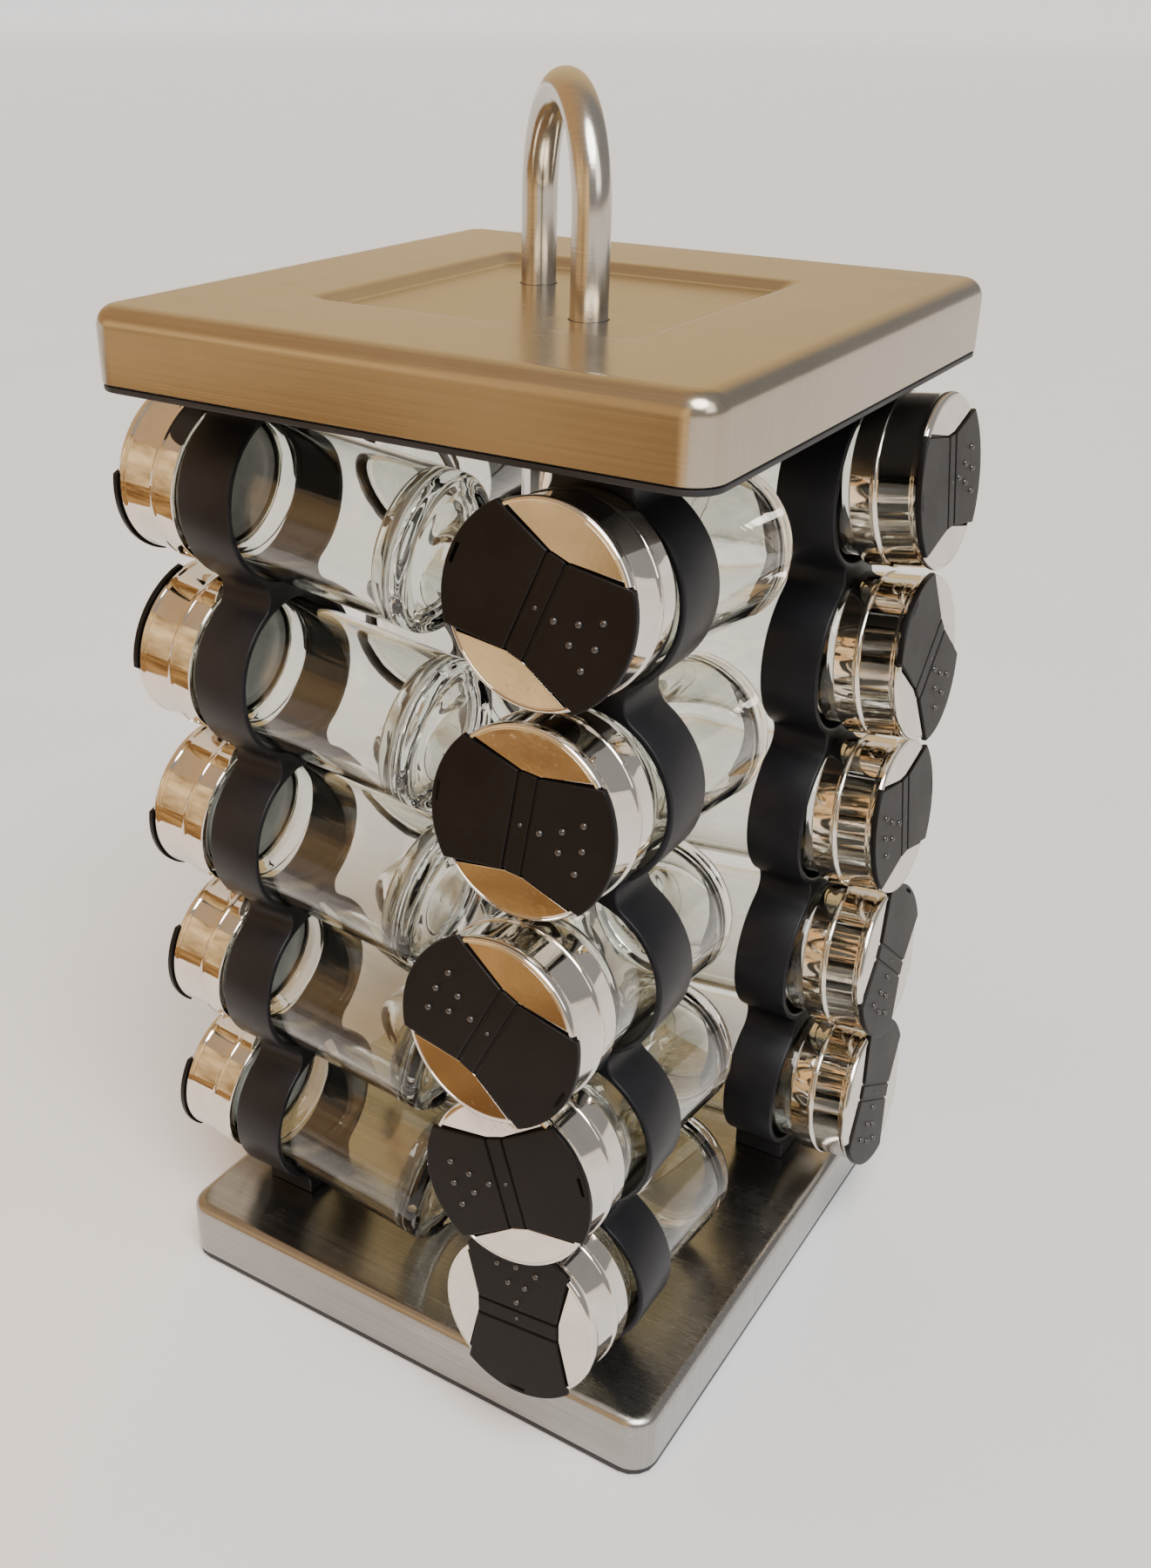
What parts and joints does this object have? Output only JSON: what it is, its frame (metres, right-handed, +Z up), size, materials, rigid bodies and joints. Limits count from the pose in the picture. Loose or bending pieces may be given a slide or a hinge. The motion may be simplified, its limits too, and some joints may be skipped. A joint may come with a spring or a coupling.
{
  "type": "spice carousel",
  "caption": "Square revolving spice tower with staggered columns of screw-capped glass jars, steel covers and a lifting handle.",
  "frame": {"origin": "centre of the underside of the rubber pad, on the turning axis", "axes": "+Z up along the turning axis; the four square sides face +X, -X, +Y and -Y"},
  "size_m": [0.194, 0.2103, 0.3551],
  "materials": {
    "stainless": "brushed along one direction, satin",
    "chrome": "mirror bright",
    "cap_shell": "mirror bright plated",
    "rack_plastic": "fine satin moulding",
    "plate_plastic": "satin",
    "flap_plastic": "fine spark-eroded texture",
    "jar_glass": "clear pressed glass",
    "pad_rubber": "matt",
    "zinc_steel": "zinc plated"
  },
  "bodies": {
    "stand": {"rubber_pad": "pad_rubber", "foot_disc": "zinc_steel", "pivot_screw": "zinc_steel"},
    "bearing": {"ball_cage": "zinc_steel"},
    "tower": {"base_plate": "plate_plastic", "base_cover": "stainless", "centre_post": "chrome", "post_nut": "zinc_steel", "top_plate": "plate_plastic", "top_cover": "stainless", "handle": "stainless", "handle_clamp": "zinc_steel", "rack_front": "rack_plastic", "rack_right": "rack_plastic", "rack_back": "rack_plastic", "rack_left": "rack_plastic"},
    "jar_front_1": {"jar_front_1": "jar_glass"},
    "cap_front_1": {"cap_front_1": "cap_shell"},
    "sifter_flap_front_1": {"sifter_flap_front_1": "flap_plastic"},
    "pour_flap_front_1": {"pour_flap_front_1": "flap_plastic"},
    "jar_front_2": {"jar_front_2": "jar_glass"},
    "cap_front_2": {"cap_front_2": "cap_shell"},
    "sifter_flap_front_2": {"sifter_flap_front_2": "flap_plastic"},
    "pour_flap_front_2": {"pour_flap_front_2": "flap_plastic"},
    "jar_front_3": {"jar_front_3": "jar_glass"},
    "cap_front_3": {"cap_front_3": "cap_shell"},
    "jar_front_4": {"jar_front_4": "jar_glass"},
    "cap_front_4": {"cap_front_4": "cap_shell"},
    "jar_front_5": {"jar_front_5": "jar_glass"},
    "cap_front_5": {"cap_front_5": "cap_shell"},
    "jar_right_1": {"jar_right_1": "jar_glass"},
    "cap_right_1": {"cap_right_1": "cap_shell"},
    "jar_right_2": {"jar_right_2": "jar_glass"},
    "cap_right_2": {"cap_right_2": "cap_shell"},
    "jar_right_3": {"jar_right_3": "jar_glass"},
    "cap_right_3": {"cap_right_3": "cap_shell"},
    "jar_right_4": {"jar_right_4": "jar_glass"},
    "cap_right_4": {"cap_right_4": "cap_shell"},
    "jar_right_5": {"jar_right_5": "jar_glass"},
    "cap_right_5": {"cap_right_5": "cap_shell"},
    "jar_back_1": {"jar_back_1": "jar_glass"},
    "cap_back_1": {"cap_back_1": "cap_shell"},
    "jar_back_2": {"jar_back_2": "jar_glass"},
    "cap_back_2": {"cap_back_2": "cap_shell"},
    "jar_back_3": {"jar_back_3": "jar_glass"},
    "cap_back_3": {"cap_back_3": "cap_shell"},
    "jar_back_4": {"jar_back_4": "jar_glass"},
    "cap_back_4": {"cap_back_4": "cap_shell"},
    "jar_back_5": {"jar_back_5": "jar_glass"},
    "cap_back_5": {"cap_back_5": "cap_shell"},
    "jar_left_1": {"jar_left_1": "jar_glass"},
    "cap_left_1": {"cap_left_1": "cap_shell"},
    "jar_left_2": {"jar_left_2": "jar_glass"},
    "cap_left_2": {"cap_left_2": "cap_shell"},
    "jar_left_3": {"jar_left_3": "jar_glass"},
    "cap_left_3": {"cap_left_3": "cap_shell"},
    "jar_left_4": {"jar_left_4": "jar_glass"},
    "cap_left_4": {"cap_left_4": "cap_shell"},
    "jar_left_5": {"jar_left_5": "jar_glass"},
    "cap_left_5": {"cap_left_5": "cap_shell"}
  },
  "joints": [
    {"name": "tower_spin", "type": "hinge", "parent": "stand", "child": "tower", "pos_m": [0, 0, 0], "axis": [0, 0, 1], "continuous": true},
    {"name": "bearing_spin", "type": "hinge", "parent": "stand", "child": "bearing", "pos_m": [0, 0, 0], "axis": [0, 0, 1], "continuous": true},
    {"name": "jar_pull_front_1", "type": "slide", "parent": "tower", "child": "jar_front_1", "axis": [0, -0.9936, 0.1132], "range_m": [0, 0.072]},
    {"name": "cap_turn_front_1", "type": "hinge", "parent": "jar_front_1", "child": "cap_front_1", "pos_m": [0.0498, -0.07257, 0.25352], "axis": [0, -0.9936, 0.1132], "range_deg": [0, 360]},
    {"name": "sifter_flap_hinge_front_1", "type": "hinge", "parent": "cap_front_1", "child": "sifter_flap_front_1", "pos_m": [0.05213, -0.09244, 0.25488], "axis": [-0.3584, -0.1057, -0.9276], "range_deg": [0, 90]},
    {"name": "pour_flap_hinge_front_1", "type": "hinge", "parent": "cap_front_1", "child": "pour_flap_front_1", "pos_m": [0.04747, -0.09224, 0.25666], "axis": [0.3584, 0.1057, 0.9276], "range_deg": [0, 90]},
    {"name": "jar_pull_front_2", "type": "slide", "parent": "tower", "child": "jar_front_2", "axis": [0, -0.9936, 0.1132], "range_m": [-0.005, 0.067]},
    {"name": "cap_turn_front_2", "type": "hinge", "parent": "jar_front_2", "child": "cap_front_2", "pos_m": [0.0498, -0.07754, 0.20358], "axis": [0, -0.9936, 0.1132], "range_deg": [0, 360]},
    {"name": "sifter_flap_hinge_front_2", "type": "hinge", "parent": "cap_front_2", "child": "sifter_flap_front_2", "pos_m": [0.05229, -0.09734, 0.20558], "axis": [-0.1045, -0.1126, -0.9881], "range_deg": [0, 90]},
    {"name": "pour_flap_hinge_front_2", "type": "hinge", "parent": "cap_front_2", "child": "pour_flap_front_2", "pos_m": [0.04731, -0.09728, 0.20609], "axis": [0.1045, 0.1126, 0.9881], "range_deg": [0, 90]},
    {"name": "jar_pull_front_3", "type": "slide", "parent": "tower", "child": "jar_front_3", "axis": [0, -0.9936, 0.1132], "range_m": [-0.0185, 0.0535]},
    {"name": "cap_turn_front_3", "type": "hinge", "parent": "jar_front_3", "child": "cap_front_3", "pos_m": [0.0498, -0.09095, 0.15461], "axis": [0, -0.9936, 0.1132], "range_deg": [0, 360]},
    {"name": "jar_pull_front_4", "type": "slide", "parent": "tower", "child": "jar_front_4", "axis": [0, -0.9936, 0.1132], "range_m": [-0.01, 0.062]},
    {"name": "cap_turn_front_4", "type": "hinge", "parent": "jar_front_4", "child": "cap_front_4", "pos_m": [0.0498, -0.0825, 0.10315], "axis": [0, -0.9936, 0.1132], "range_deg": [0, 360]},
    {"name": "jar_pull_front_5", "type": "slide", "parent": "tower", "child": "jar_front_5", "axis": [0, -0.9936, 0.1132], "range_m": [-0.004, 0.068]},
    {"name": "cap_turn_front_5", "type": "hinge", "parent": "jar_front_5", "child": "cap_front_5", "pos_m": [0.0498, -0.07654, 0.05197], "axis": [0, -0.9936, 0.1132], "range_deg": [0, 360]},
    {"name": "jar_pull_right_1", "type": "slide", "parent": "tower", "child": "jar_right_1", "axis": [0.9936, 0, 0.1132], "range_m": [0, 0.072]},
    {"name": "cap_turn_right_1", "type": "hinge", "parent": "jar_right_1", "child": "cap_right_1", "pos_m": [0.07257, 0.0498, 0.25352], "axis": [0.9936, 0, 0.1132], "range_deg": [0, 360]},
    {"name": "jar_pull_right_2", "type": "slide", "parent": "tower", "child": "jar_right_2", "axis": [0.9936, 0, 0.1132], "range_m": [-0.001, 0.071]},
    {"name": "cap_turn_right_2", "type": "hinge", "parent": "jar_right_2", "child": "cap_right_2", "pos_m": [0.07356, 0.0498, 0.20313], "axis": [0.9936, 0, 0.1132], "range_deg": [0, 360]},
    {"name": "jar_pull_right_3", "type": "slide", "parent": "tower", "child": "jar_right_3", "axis": [0.9936, 0, 0.1132], "range_m": [0, 0.072]},
    {"name": "cap_turn_right_3", "type": "hinge", "parent": "jar_right_3", "child": "cap_right_3", "pos_m": [0.07257, 0.0498, 0.15252], "axis": [0.9936, 0, 0.1132], "range_deg": [0, 360]},
    {"name": "jar_pull_right_4", "type": "slide", "parent": "tower", "child": "jar_right_4", "axis": [0.9936, 0, 0.1132], "range_m": [-0.002, 0.07]},
    {"name": "cap_turn_right_4", "type": "hinge", "parent": "jar_right_4", "child": "cap_right_4", "pos_m": [0.07455, 0.0498, 0.10224], "axis": [0.9936, 0, 0.1132], "range_deg": [0, 360]},
    {"name": "jar_pull_right_5", "type": "slide", "parent": "tower", "child": "jar_right_5", "axis": [0.9936, 0, 0.1132], "range_m": [-0.003, 0.069]},
    {"name": "cap_turn_right_5", "type": "hinge", "parent": "jar_right_5", "child": "cap_right_5", "pos_m": [0.07555, 0.0498, 0.05185], "axis": [0.9936, 0, 0.1132], "range_deg": [0, 360]},
    {"name": "jar_pull_back_1", "type": "slide", "parent": "tower", "child": "jar_back_1", "axis": [0, 0.9936, 0.1132], "range_m": [-0.001, 0.071]},
    {"name": "cap_turn_back_1", "type": "hinge", "parent": "jar_back_1", "child": "cap_back_1", "pos_m": [-0.0498, 0.07356, 0.25363], "axis": [0, 0.9936, 0.1132], "range_deg": [0, 360]},
    {"name": "jar_pull_back_2", "type": "slide", "parent": "tower", "child": "jar_back_2", "axis": [0, 0.9936, 0.1132], "range_m": [0, 0.072]},
    {"name": "cap_turn_back_2", "type": "hinge", "parent": "jar_back_2", "child": "cap_back_2", "pos_m": [-0.0498, 0.07257, 0.20302], "axis": [0, 0.9936, 0.1132], "range_deg": [0, 360]},
    {"name": "jar_pull_back_3", "type": "slide", "parent": "tower", "child": "jar_back_3", "axis": [0, 0.9936, 0.1132], "range_m": [-0.002, 0.07]},
    {"name": "cap_turn_back_3", "type": "hinge", "parent": "jar_back_3", "child": "cap_back_3", "pos_m": [-0.0498, 0.07455, 0.15274], "axis": [0, 0.9936, 0.1132], "range_deg": [0, 360]},
    {"name": "jar_pull_back_4", "type": "slide", "parent": "tower", "child": "jar_back_4", "axis": [0, 0.9936, 0.1132], "range_m": [0, 0.072]},
    {"name": "cap_turn_back_4", "type": "hinge", "parent": "jar_back_4", "child": "cap_back_4", "pos_m": [-0.0498, 0.07257, 0.10202], "axis": [0, 0.9936, 0.1132], "range_deg": [0, 360]},
    {"name": "jar_pull_back_5", "type": "slide", "parent": "tower", "child": "jar_back_5", "axis": [0, 0.9936, 0.1132], "range_m": [-0.001, 0.071]},
    {"name": "cap_turn_back_5", "type": "hinge", "parent": "jar_back_5", "child": "cap_back_5", "pos_m": [-0.0498, 0.07356, 0.05163], "axis": [0, 0.9936, 0.1132], "range_deg": [0, 360]},
    {"name": "jar_pull_left_1", "type": "slide", "parent": "tower", "child": "jar_left_1", "axis": [-0.9936, 0, 0.1132], "range_m": [0, 0.072]},
    {"name": "cap_turn_left_1", "type": "hinge", "parent": "jar_left_1", "child": "cap_left_1", "pos_m": [-0.07257, -0.0498, 0.25352], "axis": [-0.9936, 0, 0.1132], "range_deg": [0, 360]},
    {"name": "jar_pull_left_2", "type": "slide", "parent": "tower", "child": "jar_left_2", "axis": [-0.9936, 0, 0.1132], "range_m": [0, 0.072]},
    {"name": "cap_turn_left_2", "type": "hinge", "parent": "jar_left_2", "child": "cap_left_2", "pos_m": [-0.07257, -0.0498, 0.20302], "axis": [-0.9936, 0, 0.1132], "range_deg": [0, 360]},
    {"name": "jar_pull_left_3", "type": "slide", "parent": "tower", "child": "jar_left_3", "axis": [-0.9936, 0, 0.1132], "range_m": [-0.001, 0.071]},
    {"name": "cap_turn_left_3", "type": "hinge", "parent": "jar_left_3", "child": "cap_left_3", "pos_m": [-0.07356, -0.0498, 0.15263], "axis": [-0.9936, 0, 0.1132], "range_deg": [0, 360]},
    {"name": "jar_pull_left_4", "type": "slide", "parent": "tower", "child": "jar_left_4", "axis": [-0.9936, 0, 0.1132], "range_m": [0, 0.072]},
    {"name": "cap_turn_left_4", "type": "hinge", "parent": "jar_left_4", "child": "cap_left_4", "pos_m": [-0.07257, -0.0498, 0.10202], "axis": [-0.9936, 0, 0.1132], "range_deg": [0, 360]},
    {"name": "jar_pull_left_5", "type": "slide", "parent": "tower", "child": "jar_left_5", "axis": [-0.9936, 0, 0.1132], "range_m": [-0.001, 0.071]},
    {"name": "cap_turn_left_5", "type": "hinge", "parent": "jar_left_5", "child": "cap_left_5", "pos_m": [-0.07356, -0.0498, 0.05163], "axis": [-0.9936, 0, 0.1132], "range_deg": [0, 360]}
  ],
  "couplings": [
    {"joint": "bearing_spin", "follows": "tower_spin", "ratio": 0.5}
  ]
}
